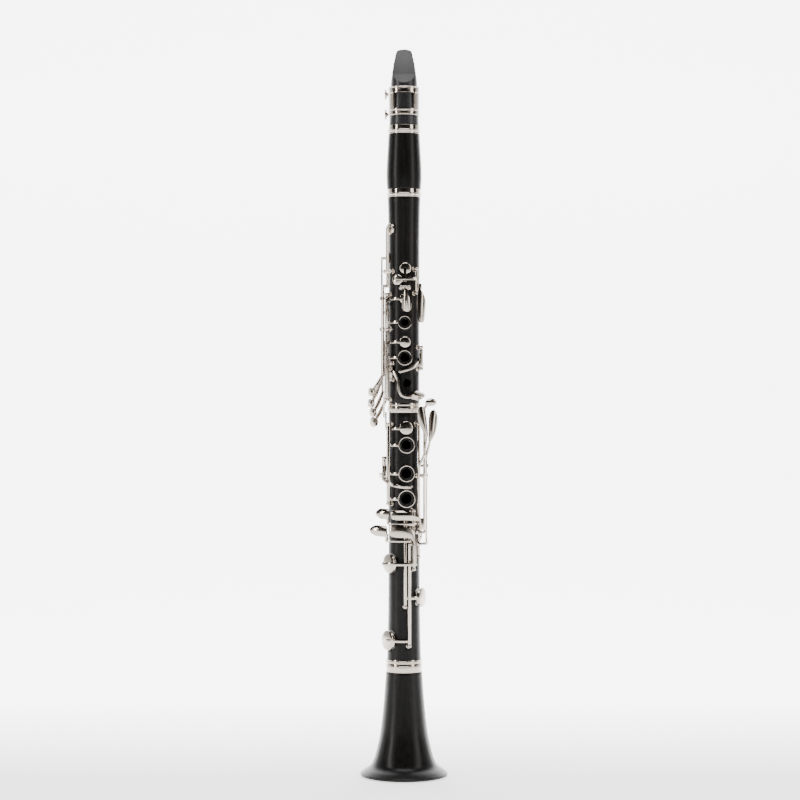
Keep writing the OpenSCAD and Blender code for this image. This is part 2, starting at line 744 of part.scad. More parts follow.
module first_ring_key()
    plate() swung(upper_left[0], upper_left[1], -ring_swing) difference() {
        union() {
            key_tube(upper_left, upper_left_posts, 1);
            ring_arm(upper_left, first_finger, 414.8);
            ring(first_finger, ring_w, ring_off);
            cup_arm(upper_left, vent_hole, cup_top(vent_hole) - 0.3, 436.2);
            cup(vent_hole);
            arc(-112, upper_left[0], 17, thumb_link_z, 2.2, 1.2);
        }
        key_bore(upper_left, upper_left_posts, 1);
        pad_room(vent_hole);
    }

module first_ring_pad()
    swung(upper_left[0], upper_left[1], -ring_swing) pad(vent_hole);

module second_ring_key()
    plate() swung(upper_left[0], upper_left[1], -second_swing) difference() {
        union() {
            key_tube(upper_left, upper_left_posts);
            ring_arm(upper_left, second_finger, 382.7);
            ring(second_finger, ring_w, ring_off);
            cup_arm(upper_left, second_vent_hole, cup_top(second_vent_hole) - 0.3, 396.8);
            cup(second_vent_hole);
            arc(-76, upper_left[0] + 3, 18.8, 347.6, 2.4);
            arc(-75.7, -72, 18.9, 338.2, 20.2, 1.3);
        }
        key_bore(upper_left, upper_left_posts);
        pad_room(second_vent_hole);
    }

module second_ring_pad()
    swung(upper_left[0], upper_left[1], -second_swing) pad(second_vent_hole);

thumb_link_z = 432;
module thumb_ring_key()
    plate() swung(thumb_line[0], thumb_line[1], thumb_swing) difference() {
        union() {
            key_tube(thumb_line, thumb_posts);
            arc(ring_reach(thumb_finger) - thumb_finger[0], thumb_line[0], 16.6, thumb_finger[1], 2.4);
            ring(thumb_finger, ring_w, -ring_off);
            arc(thumb_line[0], -106, 15.6, thumb_link_z, 2.2, 1.1);
            web(thumb_line[0], 15.6, thumb_line[1], thumb_link_z, 2.2);
        }
        key_bore(thumb_line, thumb_posts);
    }

// Throat A: a lever on a crosswise hinge with a drop-shaped touch.
a_touch = [
    [1, 444.2], [3.4, 440], [6.6, 431], [6.2, 426], [2.4, 424.2], [-1.6, 426.6], [-2.2, 432],
    [-0.6, 440]
];
module a_key()
    plate() difference() {
        union() {
            face(a_hinge[0], a_hinge[1], a_hinge[2]) cross_tube();
            cup(a_hole);
            web(a_hinge[0], 16.1, 18, (a_hinge[1] + a_hole[1]) / 2, a_hole[1] - a_hinge[1], 2.6);
            web(a_hinge[0], 17.6, 21.8, 443.6, 3, 2.6);
            touch(a_touch, 0, 20.6, [2.4, 434], 5.4);
        }
        face(a_hinge[0], a_hinge[1], a_hinge[2]) cross_bore();
        pad_room(a_hole);
    }
module a_pad() pad(a_hole);

gsharp_touch = [
    [12.8, 452], [15, 446], [18.8, 438], [21.4, 430], [21.6, 422], [19.4, 416.4], [16, 414.4], [13.6, 418],
    [12.6, 430], [12.2, 442]
];
module gsharp_key()
    plate() difference() {
        union() {
            key_tube(gsharp_line, gsharp_posts);
            cup(gsharp_hole);
            spoke(gsharp_hole[0], cup_top(gsharp_hole) - 0.3, 20, gsharp_hole[1] + 0.4, 1.2);
            arc(gsharp_hole[0] - 2, gsharp_line[0], 19.1, 454.2, 2.4, 1.4);
            arc(gsharp_line[0] - 2, 48, 19.3, 447.5, 5, 2.4);
            touch(gsharp_touch, 30, 21.4, [17, 432], 6.5, -6);
        }
        key_bore(gsharp_line, gsharp_posts);
        pad_room(gsharp_hole);
    }
module gsharp_pad() pad(gsharp_hole);

cross_touch = [
    [17, 379.6], [15.4, 376], [12, 374.9], [9, 372.6], [3, 370.4], [-3.8, 368.6], [-5, 370.4],
    [-3, 372.2], [3, 373.6], [9, 375.8], [14, 379.8]
];
module cross_key()
    plate() difference() {
        union() {
            key_tube(cross_line, cross_posts);
            cup(cross_hole);
            cup_arm(cross_line, cross_hole, cup_top(cross_hole) - 0.3, cross_hole[1]);
            bent_plate(cross_touch, 0, 19.2);
        }
        key_bore(cross_line, cross_posts);
        pad_room(cross_hole);
    }
module cross_pad() pad(cross_hole);

csharp_touch = [
    [-13, 370], [-9, 366], [-6.4, 361], [-6, 353], [-3, 347.4], [3, 345.4], [9, 346], [13, 344.4],
    [11, 350.4], [5, 348.6], [-1, 350], [-3.6, 355], [-4.6, 363], [-8, 370]
];
module csharp_key()
    plate() difference() {
        union() {
            key_tube(csharp_line, csharp_posts);
            cup(csharp_hole);
            cup_arm(csharp_line, csharp_hole, 14.6, csharp_hole[1], 2.4, 1.3);
            bent_plate(csharp_touch, 0, 17.4);
            crown(44, 19.6, [0, 348], 5.4, 80) flat_plate(csharp_leaf, 44, 17.6, 2);
        }
        key_bore(csharp_line, csharp_posts);
        pad_room(csharp_hole);
    }
module csharp_pad() pad(csharp_hole);

// The leaf at the end of the C sharp key, standing a little off the wood at the right.
csharp_leaf = [[-8, 345.6], [-2, 343.8], [5, 345.4], [8, 349], [5.6, 352], [-1, 352.4], [-7, 350]];

register_touch = [[0, 446], [3.6, 442], [4.2, 436], [0, 433.4], [-4.2, 436], [-3.6, 442]];
module register_key()
    plate() difference() {
        union() {
            face(180, register_hinge[1], register_hinge[2]) cross_tube();
            cup(register_hole);
            web(180, 16.4, 18.6, (register_hinge[1] + register_hole[1]) / 2,
                register_hole[1] - register_hinge[1], 2.8);
            web(180, 17.8, 19.6, 452, 18, 2.8);
            flat_plate(register_touch, 180, 18.6);
        }
        face(180, register_hinge[1], register_hinge[2]) cross_bore();
        pad_room(register_hole);
    }
module register_pad() pad(register_hole);

// ---------------------------------------------------------------- side keys

// Each side lever's line below its hinge and the height where it turns outwards.
side_bottom = [[-69.5, 366], [-87, 362], [-105.5, 350], [-125, 343]];
// Points down each lever's foot, ending at the middle of its touch.
side_foot = [
    [[-24.5, -7.5, 358], [-29.5, -7.5, 351.4]],
    [[-25.5, -1.5, 350], [-30, -2.5, 341.2]],
    [[-24, 2.6, 340], [-28.3, 0.5, 333]],
    [[-22, 7.5, 333], [-27.5, 4.4, 324]]
];
side_touch = [4, 4, 4.1, 4.8];
touch_turn = -55;
lever_r = 19.6;
lever_t = 1.6;

// A straight lever along the bore at phi between two heights.
module lever(phi, z0, z1, r = lever_r, w = 2.6)
    face(phi, z0, r) translate([-w / 2, 0, 0]) cube([w, z1 - z0, lever_t]);

module side_key(i) {
    hinge = side_hinges[i];
    hole = side_holes[i];
    foot = side_bottom[i];
    upper_r = hinge[2] - lever_t / 2;
    // Height at which the first lever steps round to its lower line.
    step_z = 448;
    plate() difference() {
        union() {
            face(hinge[0], hinge[1], hinge[2]) cross_tube();
            cup(hole);
            spoke(hole[0], cup_top(hole) - 0.3, upper_r + lever_t - 0.1, hole[1]);
            if (foot[0] == hinge[0]) {
                lever(hinge[0], foot[1], hole[1]);
            } else {
                lever(hinge[0], step_z - 1.5, hole[1], upper_r);
                arc(foot[0] - 2, hinge[0] + 2, upper_r + 0.1, step_z, 2.8,
                    lever_r + lever_t - upper_r - 0.2);
                lever(foot[0], foot[1], step_z + 1.5, lever_r, 2.2);
            }
            chain(
                concat([at(foot[0], lever_r + lever_t / 2, foot[1] + 1.4)], side_foot[i]), [1.5, 1.8, 1.5]
            );
            translate(side_foot[i][1]) rotate([0, 0, touch_turn]) rotate([90, 0, 0])
                translate([0, 0, -1.2]) cylinder(r = side_touch[i], h = 2.6);
        }
        face(hinge[0], hinge[1], hinge[2]) cross_bore();
        pad_room(hole);
    }
}

module side_key_1() side_key(0);
module side_key_2() side_key(1);
module side_key_3() side_key(2);
module side_key_4() side_key(3);
module side_pad_1() pad(side_holes[0]);
module side_pad_2() pad(side_holes[1]);
module side_pad_3() pad(side_holes[2]);
module side_pad_4() pad(side_holes[3]);

// ---------------------------------------------------------------- lower keys

module lower_ring_key()
    plate() swung(lower_left[0], lower_left[1], -lower_swing) difference() {
        union() {
            key_tube(lower_left, lower_left_posts);
            for (f = lower_fingers) {
                ring_arm(lower_left, f, f[1] - 0.4);
                ring(f, ring_w, ring_off);
            }
            cup_arm(lower_left, lower_vent_hole, cup_top(lower_vent_hole) - 0.3, 318.1);
            cup(lower_vent_hole);
            arc(-76, lower_left[0] + 3, 17, 317.8, 2.4);
            arc(-75.7, -71, 17.1, 325.6, 15.2, 1.3);
        }
        key_bore(lower_left, lower_left_posts);
        pad_room(lower_vent_hole);
    }

module lower_ring_pad()
    swung(lower_left[0], lower_left[1], -lower_swing) pad(lower_vent_hole);

sliver_touch = [
    [-19, 279], [-17.4, 273], [-12, 269.4], [-3, 267], [6.6, 266.4], [7.4, 264.8], [4, 263.6],
    [-4, 264.2], [-13, 266.4], [-20, 272]
];
module sliver_key()
    plate() difference() {
        union() {
            key_tube(sliver_line, sliver_posts);
            cup(sliver_hole);
            cup_arm(sliver_line, sliver_hole, cup_top(sliver_hole) - 0.3, sliver_hole[1]);
            web(sliver_line[0], 19, 23.3, 275.5, 4, 2.4);
            arc(sliver_line[0] - 2, -60, 22.2, 275.4, 3.8, 1.15);
            bent_plate(sliver_touch, 0, 22.1, 1.4);
        }
        key_bore(sliver_line, sliver_posts);
        pad_room(sliver_hole);
    }
module sliver_pad() pad(sliver_hole);

aflat_touch = [
    [-11, 244.6], [-4, 244.8], [3, 242], [9.6, 239], [12.6, 236.4], [11, 234.2], [6, 234.4],
    [0, 234.8], [-7, 235], [-11, 236.4], [-11.8, 240.6]
];
module aflat_key()
    plate() difference() {
        union() {
            key_tube(aflat_line, aflat_posts);
            cup(aflat_hole);
            cup_arm(aflat_line, aflat_hole, 15.2, aflat_hole[1], 3, 1.5);
            web(aflat_line[0], 19, 25.4, 228.6, 2.6, 2.4);
            arc(34.5, 46, 24.2, 231.9, 10);
            arc(20, 36, 24.3, 236.1, 3.2);
            bent_crown(26.6, 239.4, 6.2) bent_plate(aflat_touch, 0, 24.4, 2.2);
        }
        key_bore(aflat_line, aflat_posts);
        pad_room(aflat_hole);
    }
module aflat_pad() pad(aflat_hole);

f_touch = [
    [-14.7, 238], [-14.9, 244.4], [-17, 246.4], [-22.6, 245.6], [-25.6, 241.4], [-23.4, 236.8],
    [-18, 235.2]
];
module f_key()
    plate() difference() {
        union() {
            swung(fsharp_line[0], fsharp_line[1], f_swing) {
                arc(11.5, fsharp_line[0], 19.45, 231, 2.2, 1.3);
                web(fsharp_line[0], 19, 22.5, 231.8, 1.3);
                arc(-42, fsharp_line[0] + 3, 21.4, 231.8, 1.5, 1.4);
                web(-40.5, 21.6, 23.6, 234.5, 6.4, 1.9);
                touch(f_touch, -34, 22.2, [-18, 240.4], 6.4, 86);
            }
            key_tube(fsharp_line, fsharp_posts, 1);
            arc(fsharp_line[0], 39.5, 18.8, 237, 2.4, 1.4);
        }
        key_bore(fsharp_line, fsharp_posts, 1);
    }

module f_pad_key()
    plate() swung(f_pad_line[0], f_pad_line[1], -f_pad_swing) difference() {
        union() {
            key_tube(f_pad_line, f_pad_posts);
            cup(f_hole);
            cup_arm(f_pad_line, f_hole, 14.85, f_hole[1], 3, 1.3);
            arc(f_pad_line[0], 13.5, 17.7, 231, 2.4, 1.4);
        }
        key_bore(f_pad_line, f_pad_posts);
        pad_room(f_hole);
    }
module f_pad() swung(f_pad_line[0], f_pad_line[1], -f_pad_swing) pad(f_hole);

fsharp_touch = [
    [-13, 230.4], [-6, 230.6], [2, 228.4], [7.6, 225.6], [10.6, 220], [11, 210], [10.6, 197.4],
    [8, 196.4], [7.8, 206], [7.9, 214], [4.4, 218.8], [-6, 219.4], [-12.8, 220.8], [-13.8, 225.6]
];
module fsharp_key()
    plate() difference() {
        union() {
            swung(fsharp_line[0], fsharp_line[1], fsharp_swing) {
                cup(fsharp_hole);
                spoke(fsharp_hole[0] + 4, cup_top(fsharp_hole) - 0.3, 22.4, fsharp_hole[1], 1.6);
                arc(fsharp_hole[0], fsharp_line[0], 21.4, fsharp_hole[1], 2.8);
                web(fsharp_line[0], 19, 22.6, fsharp_hole[1], 2.4);
                bent_plate(fsharp_touch, 0, 22.7);
            }
            key_tube(fsharp_line, fsharp_posts);
            arc(fsharp_line[0], 73, 21.5, 223.6, 2.4, 1.2);
            web(fsharp_line[0], 19, 22.4, 223.6, 2);
        }
        key_bore(fsharp_line, fsharp_posts);
        swung(fsharp_line[0], fsharp_line[1], fsharp_swing) pad_room(fsharp_hole);
    }
module fsharp_pad() swung(fsharp_line[0], fsharp_line[1], fsharp_swing) pad(fsharp_hole);

e_touch = [
    [-16.9, 221], [-17.1, 229.4], [-20.4, 230.8], [-27, 230], [-30.4, 226.4], [-28, 221.4], [-22, 219.6]
];
module e_key()
    plate() difference() {
        union() {
            swung(e_line[0], e_line[1], e_swing) {
                cup(e_hole);
                cup_arm(e_line, e_hole, cup_top(e_hole) - 0.3, e_hole[1], 2.8);
                web(e_line[0], 19, 22.6, 216.2, 2);
                arc(-46, e_line[0], 21.5, 216.2, 2.2, 1.4);
                web(-44, 21.6, 23.6, 218.9, 7.2, 1.9);
                touch(e_touch, -34, 22.2, [-22, 225], 6.8, 86);
            }
            key_tube(e_line, e_posts);
            web(e_line[0], 19, 21.5, 213.2, 2);
            arc(e_line[0], 62, 20.4, 213.2, 2.4, 1.2);
            web(60.5, 20.5, 22.6, 213.2, 2.2);
            arc(59, 103, 21.5, 213.2, 2.4, 1.2);
        }
        key_bore(e_line, e_posts);
        swung(e_line[0], e_line[1], e_swing) pad_room(e_hole);
    }
module e_pad() swung(e_line[0], e_line[1], e_swing) pad(e_hole);

// ---------------------------------------------------------------- left-hand levers

left_phi = 15;
left_f_touch = [
    [12.9, 330], [13.4, 336], [15.8, 338.4], [18.6, 336.4], [20.6, 328], [21.8, 316], [21.8, 310.8],
    [20.2, 310.6], [17.4, 316], [14.2, 323]
];
module left_f_lever()
    plate() difference() {
        union() {
            key_tube(aflat_line, aflat_posts, 1);
            arc(38.2, aflat_line[0] + 3, 16.9, 237, 2.4, 1.4);
            web(aflat_line[0], 17.2, 18.6, 237, 2);
            chain([[13.6, -13.6, 284], [18.4, -14.6, 294], [20.9, -15.9, 313]], [1.3, 1.3, 0.8]);
            touch(left_f_touch, left_phi, 19.9, [17.6, 326], 6.2, 8);
        }
        key_bore(aflat_line, aflat_posts, 1);
    }

// The other two levers rock on crosswise hinges, and their feet lift the tails of the keys below.
module rocker(hinge, z0, z1)
    face(hinge[0], z0, hinge[2] - 0.8) translate([-1.3, 0, 0]) cube([2.6, z1 - z0, 1.6]);

left_fsharp_touch = [
    [19.8, 340.4], [21.4, 338.8], [27.4, 339], [29.6, 342], [27.4, 345.2], [23, 345.4], [20.2, 343.4]
];
module left_fsharp_lever()
    plate() difference() {
        union() {
            face(left_fsharp_hinge[0], left_fsharp_hinge[1], left_fsharp_hinge[2]) cross_tube();
            rocker(left_fsharp_hinge, 222.4, 338);
            chain([[18.6, -8.3, 336.6], [22, -11, 341], [26, -12.6, 342]], [1.3, 1.2, 0.8]);
            touch(left_fsharp_touch, left_phi, 18, [25, 342], 5.2, 90);
        }
        face(left_fsharp_hinge[0], left_fsharp_hinge[1], left_fsharp_hinge[2]) cross_bore();
    }

left_e_touch = [
    [22.8, 318], [23.1, 328], [24.8, 334], [27.6, 335], [30.2, 331], [30.9, 323], [28.2, 313],
    [24, 305.8], [22.8, 306.2]
];
module left_e_lever()
    plate() difference() {
        union() {
            face(left_e_hinge[0], left_e_hinge[1], left_e_hinge[2]) cross_tube();
            rocker(left_e_hinge, 212, 294);
            chain([[20.4, -0.7, 292.6], [22.8, -7.6, 303], [24.4, -12.2, 312]], [1.3, 1.3, 0.8]);
            touch(left_e_touch, left_phi, 17.3, [26.6, 322], 5.6, -6);
        }
        face(left_e_hinge[0], left_e_hinge[1], left_e_hinge[2]) cross_bore();
    }

// ---------------------------------------------------------------- nodes

bell();
bell_ring();
lower_joint();
joint_rings();
tenon_corks();
upper_joint();
tone_hole_tubes();
upper_posts();
lower_posts();
hinge_rods();
thumb_rest_plate();
thumb_rest();
thumb_rest_screw();
barrel();
barrel_rings();
mouthpiece();
mouthpiece_cork();
reed();
ligature();
ligature_screw_upper();
ligature_screw_lower();
register_key();
register_pad();
thumb_ring_key();
a_key();
a_pad();
gsharp_key();
gsharp_pad();
first_ring_key();
first_ring_pad();
second_ring_key();
second_ring_pad();
cross_key();
cross_pad();
csharp_key();
csharp_pad();
side_key_1();
side_pad_1();
side_key_2();
side_pad_2();
side_key_3();
side_pad_3();
side_key_4();
side_pad_4();
lower_ring_key();
lower_ring_pad();
sliver_key();
sliver_pad();
aflat_key();
aflat_pad();
f_key();
f_pad_key();
f_pad();
fsharp_key();
fsharp_pad();
e_key();
e_pad();
left_e_lever();
left_f_lever();
left_fsharp_lever();
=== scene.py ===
"""Looks for a soprano clarinet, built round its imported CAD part."""

import json
import math

import bpy
import numpy as np
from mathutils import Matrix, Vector


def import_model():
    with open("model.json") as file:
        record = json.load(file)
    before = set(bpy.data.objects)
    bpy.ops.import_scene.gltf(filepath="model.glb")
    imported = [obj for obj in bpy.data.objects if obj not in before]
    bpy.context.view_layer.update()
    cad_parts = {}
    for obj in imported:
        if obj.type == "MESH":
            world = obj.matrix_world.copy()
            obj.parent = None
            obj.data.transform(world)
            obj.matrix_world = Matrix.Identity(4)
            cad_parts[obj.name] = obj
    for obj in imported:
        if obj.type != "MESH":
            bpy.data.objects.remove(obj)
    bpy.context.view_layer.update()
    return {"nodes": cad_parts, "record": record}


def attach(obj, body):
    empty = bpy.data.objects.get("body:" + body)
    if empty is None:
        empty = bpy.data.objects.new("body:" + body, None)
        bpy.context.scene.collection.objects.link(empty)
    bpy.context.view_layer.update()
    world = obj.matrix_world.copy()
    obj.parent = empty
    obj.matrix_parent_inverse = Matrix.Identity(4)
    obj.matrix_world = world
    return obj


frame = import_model()

MM = 0.001
RECORD = frame["record"]
BODY_OF = {n: body for body, nodes in RECORD["behaviour"]["bodies"].items() for n in nodes}
ROOT = "clarinet_body"


# ------------------------------------------------------------------ materials


def new_material(name):
    """A material with an empty node tree but for its Principled shader and output."""
    mat = bpy.data.materials.new(name)
    mat.use_nodes = True
    tree = mat.node_tree
    tree.nodes.clear()
    out = tree.nodes.new("ShaderNodeOutputMaterial")
    shader = tree.nodes.new("ShaderNodeBsdfPrincipled")
    tree.links.new(shader.outputs["BSDF"], out.inputs["Surface"])
    return mat, tree, shader


def object_noise(tree, scale, stretch=(1, 1, 1), detail=3.0, rough=0.5):
    """Noise over the object's own coordinates, drawn out along the axes given."""
    coords = tree.nodes.new("ShaderNodeTexCoord")
    mapping = tree.nodes.new("ShaderNodeMapping")
    mapping.inputs["Scale"].default_value = stretch
    noise = tree.nodes.new("ShaderNodeTexNoise")
    noise.inputs["Scale"].default_value = scale
    noise.inputs["Detail"].default_value = detail
    noise.inputs["Roughness"].default_value = rough
    tree.links.new(coords.outputs["Object"], mapping.inputs["Vector"])
    tree.links.new(mapping.outputs["Vector"], noise.inputs["Vector"])
    return noise.outputs["Fac"]


def ramp(tree, value, stops):
    """A colour ramp through (position, colour) stops."""
    node = tree.nodes.new("ShaderNodeValToRGB")
    points = node.color_ramp.elements
    while len(points) < len(stops):
        points.new(0.5)
    for point, (place, colour) in zip(points, stops):
        point.position = place
        point.color = (*colour, 1)
    tree.links.new(value, node.inputs["Fac"])
    return node.outputs["Color"]


def spread(tree, value, low, high):
    """Maps 0..1 onto low..high."""
    node = tree.nodes.new("ShaderNodeMapRange")
    node.inputs["To Min"].default_value = low
    node.inputs["To Max"].default_value = high
    tree.links.new(value, node.inputs["Value"])
    return node.outputs["Result"]


def bump(tree, shader, height, distance, strength=1.0):
    """Raises the shader's surface by a height map, distance in metres."""
    node = tree.nodes.new("ShaderNodeBump")
    node.inputs["Strength"].default_value = strength
    node.inputs["Distance"].default_value = distance
    tree.links.new(height, node.inputs["Height"])
    tree.links.new(node.outputs["Normal"], shader.inputs["Normal"])


def grenadilla():
    """Nearly black hardwood with fine lengthwise grain under a thin oil finish."""
    mat, tree, shader = new_material("grenadilla")
    along_the_bore = (1, 1, 0.045)
    dark, middle, light = (0.0018, 0.0016, 0.0016), (0.005, 0.0042, 0.004), (0.011, 0.008, 0.007)
    grain = object_noise(tree, 420, along_the_bore, 6, 0.62)
    tint = ramp(tree, grain, [(0.3, dark), (0.62, middle), (0.8, light)])
    tree.links.new(tint, shader.inputs["Base Color"])
    tree.links.new(spread(tree, grain, 0.24, 0.36), shader.inputs["Roughness"])
    shader.inputs["Specular IOR Level"].default_value = 0.2
    bump(tree, shader, grain, 0.03 * MM, 0.4)
    return mat


def ebonite():
    """Black hard rubber with a soft shine."""
    mat, tree, shader = new_material("ebonite")
    shader.inputs["Base Color"].default_value = (0.012, 0.012, 0.0135, 1)
    marks = object_noise(tree, 160, (1, 1, 1), 4)
    tree.links.new(spread(tree, marks, 0.28, 0.38), shader.inputs["Roughness"])
    shader.inputs["Specular IOR Level"].default_value = 0.45
    return mat


def plated(name, colour, low, high):
    """Polished plating whose roughness runs from low to high with slight handling marks."""
    mat, tree, shader = new_material(name)
    shader.inputs["Metallic"].default_value = 1.0
    marks = object_noise(tree, 240, (1, 1, 1), 4, 0.6)
    dulled = tuple(c * 0.9 for c in colour)
    shade = ramp(tree, marks, [(0.2, dulled), (0.75, colour)])
    tree.links.new(shade, shader.inputs["Base Color"])
    tree.links.new(spread(tree, marks, low, high), shader.inputs["Roughness"])
    return mat


def matt(name, dark, light, scale, stretch=(1, 1, 1), rough=0.75, relief=0.05 * MM):
    """A dull material whose two shades and relief come from one noise."""
    mat, tree, shader = new_material(name)
    noise = object_noise(tree, scale, stretch, 5, 0.6)
    tree.links.new(ramp(tree, noise, [(0.3, dark), (0.7, light)]), shader.inputs["Base Color"])
    shader.inputs["Roughness"].default_value = rough
    bump(tree, shader, noise, relief)
    return mat


MATERIALS = {
    "grenadilla": grenadilla(),
    "ebonite": ebonite(),
    "silver_plate": plated("silver_plate", (0.54, 0.48, 0.42), 0.08, 0.15),
    "rod_steel": plated("rod_steel", (0.52, 0.52, 0.54), 0.16, 0.28),
    "pad_skin": matt("pad_skin", (0.62, 0.47, 0.30), (0.80, 0.68, 0.50), 300, rough=0.55),
    "cork": matt("cork", (0.36, 0.22, 0.12), (0.62, 0.44, 0.27), 700, rough=0.85, relief=0.2 * MM),
    "cane": matt("cane", (0.62, 0.45, 0.20), (0.82, 0.67, 0.38), 900, (1, 1, 0.03), 0.5),
}
BLUED_STEEL = plated("blued_steel", (0.05, 0.06, 0.10), 0.3, 0.4)
NODE_SLOTS = {s["node"]: s["material_slot"] for s in RECORD["subparts"]}


def paint(obj, mat):
    """Gives the object this one material."""
    obj.data.materials.clear()
    obj.data.materials.append(mat)


WELD_GAP = 0.004 * MM
SHARP = math.radians(32)
BEVELS = {"silver_plate": 0.18 * MM, "grenadilla": 0.2 * MM, "ebonite": 0.3 * MM}
FINE_BEVEL = 0.1 * MM


def soften(obj, width):
    """Joins the mesh's seams and rounds its sharp edges a little, all by modifiers."""
    for face in obj.data.polygons:
        face.use_smooth = True
    weld = obj.modifiers.new("weld", "WELD")
    weld.merge_threshold = WELD_GAP
    bevel = obj.modifiers.new("bevel", "BEVEL")
    bevel.width = width
    bevel.segments = 2
    bevel.limit_method = "ANGLE"
    bevel.angle_limit = SHARP


for node, obj in frame["nodes"].items():
    paint(obj, MATERIALS[NODE_SLOTS[node]])
    soften(obj, BEVELS.get(NODE_SLOTS[node], FINE_BEVEL))


# ------------------------------------------------------------------ small pieces


def world_points(node):
    """The node's corners in the shared frame."""
    obj = frame["nodes"][node]
    return np.array([obj.matrix_world @ v.co for v in obj.data.vertices])


def add_piece(name, verts, faces, mat, body):
    """A smooth-shaded piece that rides a body."""
    mesh = bpy.data.meshes.new(name)
    mesh.from_pydata([tuple(v) for v in verts], [], faces)
    for face in mesh.polygons:
        face.use_smooth = True
    obj = bpy.data.objects.new(name, mesh)
    bpy.context.scene.collection.objects.link(obj)
    paint(obj, mat)
    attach(obj, body)


def frame_about(direction):
    """Two directions across the one given, and that one, each of length 1."""
    w = Vector(direction).normalized()
    side = Vector((0, 0, 1)) if abs(w.z) < 0.9 else Vector((1, 0, 0))
    u = w.cross(side).normalized()
    return u, w.cross(u), w


def turned(name, centre, direction, profile, mat, body, sides=48):
    """A solid of revolution, closed at both ends: profile is (radius, distance along direction)."""
    u, v, w = frame_about(direction)
    verts, faces = [], []
    for radius, along in profile:
        for k in range(sides):
            a = 2 * math.pi * k / sides
            verts.append(Vector(centre) + along * w + radius * (math.cos(a) * u + math.sin(a) * v))
    last = (len(profile) - 1) * sides
    for low in range(0, last, sides):
        high = low + sides
        for k in range(sides):
            n = (k + 1) % sides
            faces.append((low + k, low + n, high + n, high + k))
    faces.append(tuple(range(sides))[::-1])
    faces.append(tuple(range(last, last + sides)))
    add_piece(name, verts, faces, mat, body)


def disc_of(node):
    """Centre, outward direction, radius and half thickness of a pad."""
    points = world_points(node)
    low, high = points.min(0), points.max(0)
    centre = (low + high) / 2
    offsets = points - centre
    thinnest_first = np.linalg.eigh(offsets.T @ offsets)[1]
    outward = thinnest_first[:, 0]
    radial = np.array([centre[0], centre[1], 0])
    if outward @ radial < 0:
        outward = -outward
    along = offsets @ outward
    across = np.linalg.norm(offsets - np.outer(along, outward), axis=1)
    return Vector(centre), Vector(outward), float(across.max()), float(along.max())


CUP_WALL = 0.52 * MM
CUP_DEPTH = 1.5 * MM
CUP_ROOF = 0.1 * MM
ROLL_HEIGHT = 0.4 * MM
ROLL_BULGE = 0.14 * MM
DOME_RISE = 1.15 * MM
DOME_STEPS = 10
DOME_CENTRE = 0.3 * MM


def cup_dome(pad):
    """The spun shell of a pad cup: a thin rolled rim, an upright wall and a low dome."""
    centre, outward, radius, half = disc_of(pad)
    outer = radius + CUP_WALL
    foot, brow = half - CUP_DEPTH, half + CUP_ROOF
    profile = [(radius + 0.05 * MM, foot), (outer + 0.08 * MM, foot),
               (outer + ROLL_BULGE, foot + ROLL_HEIGHT / 2), (outer, foot + ROLL_HEIGHT), (outer, brow)]
    for i in range(1, DOME_STEPS):
        a = math.radians(90) * i / DOME_STEPS
        profile.append((outer * math.cos(a), brow + DOME_RISE * math.sin(a)))
    profile.append((DOME_CENTRE, brow + DOME_RISE))
    turned(pad.replace("_pad", "_cup_dome"), centre, outward, profile, MATERIALS["silver_plate"],
           BODY_OF[pad])


for node in sorted(NODE_SLOTS):
    if NODE_SLOTS[node] == "pad_skin":
        cup_dome(node)


def rod(name, a, b, radius, mat, body):
    """A straight wire from a to b."""
    way = Vector(b) - Vector(a)
    turned(name, a, way, [(radius, 0), (radius, way.length)], mat, body, sides=12)


POSTS = np.concatenate([world_points("upper_posts"), world_points("lower_posts")])
POST_REACH = 1.2 * MM
POST_GAP = 4 * MM


def posts_on(place):
    """Heights of the posts on the upright line through place."""
    off = np.hypot(POSTS[:, 0] - place[0], POSTS[:, 1] - place[1])
    heights = np.sort(POSTS[off < POST_REACH][:, 2])
    groups = np.split(heights, np.where(np.diff(heights) > POST_GAP)[0] + 1)
    return [float((g[0] + g[-1]) / 2) for g in groups if len(g)]


SPRING_RADIUS = 0.22 * MM
SPRING_INSET = 3.1 * MM
SPRING_SHARE = 0.42
SPRING_LIFT = 0.25 * MM


def needle_spring(joint):
    """A blued needle from the post above a key's hinge point, inside of the tube and down along it."""
    x, y, z = joint["pos_m"]
    posts = posts_on((x, y))
    above = [h for h in posts if h > z]
    below = [h for h in posts if h < z]
    if not above or not below:
        return
    upper, lower = min(above), max(below)
    out = math.hypot(x, y)
    fixed_end = (out - SPRING_INSET) / out
    free_end = fixed_end + SPRING_LIFT / out
    start = (x * fixed_end, y * fixed_end, upper)
    tip = (x * free_end, y * free_end, upper + (lower - upper) * SPRING_SHARE)
    rod(joint["child"] + "_needle_spring", start, tip, SPRING_RADIUS, BLUED_STEEL, ROOT)


for joint in RECORD["behaviour"]["joints"]:
    if joint["type"] == "hinge" and joint.get("stiffness") and joint["axis"][2] == 1:
        needle_spring(joint)


# ------------------------------------------------------------------ studio

AIM = (0, 0, 0.3441)
CAMERA_PLACE = (-0.0037, -2.0, 0.3441)
CAMERA_LENS = 98.2


def camera():
    """Near half the clarinet's height, looking straight at its front."""
    data = bpy.data.cameras.new("camera")
    data.lens = CAMERA_LENS
    data.clip_start = 0.05
    obj = bpy.data.objects.new("camera", data)
    obj.location = CAMERA_PLACE
    obj.rotation_euler = (math.radians(90), 0, 0)
    bpy.context.scene.collection.objects.link(obj)
    bpy.context.scene.camera = obj


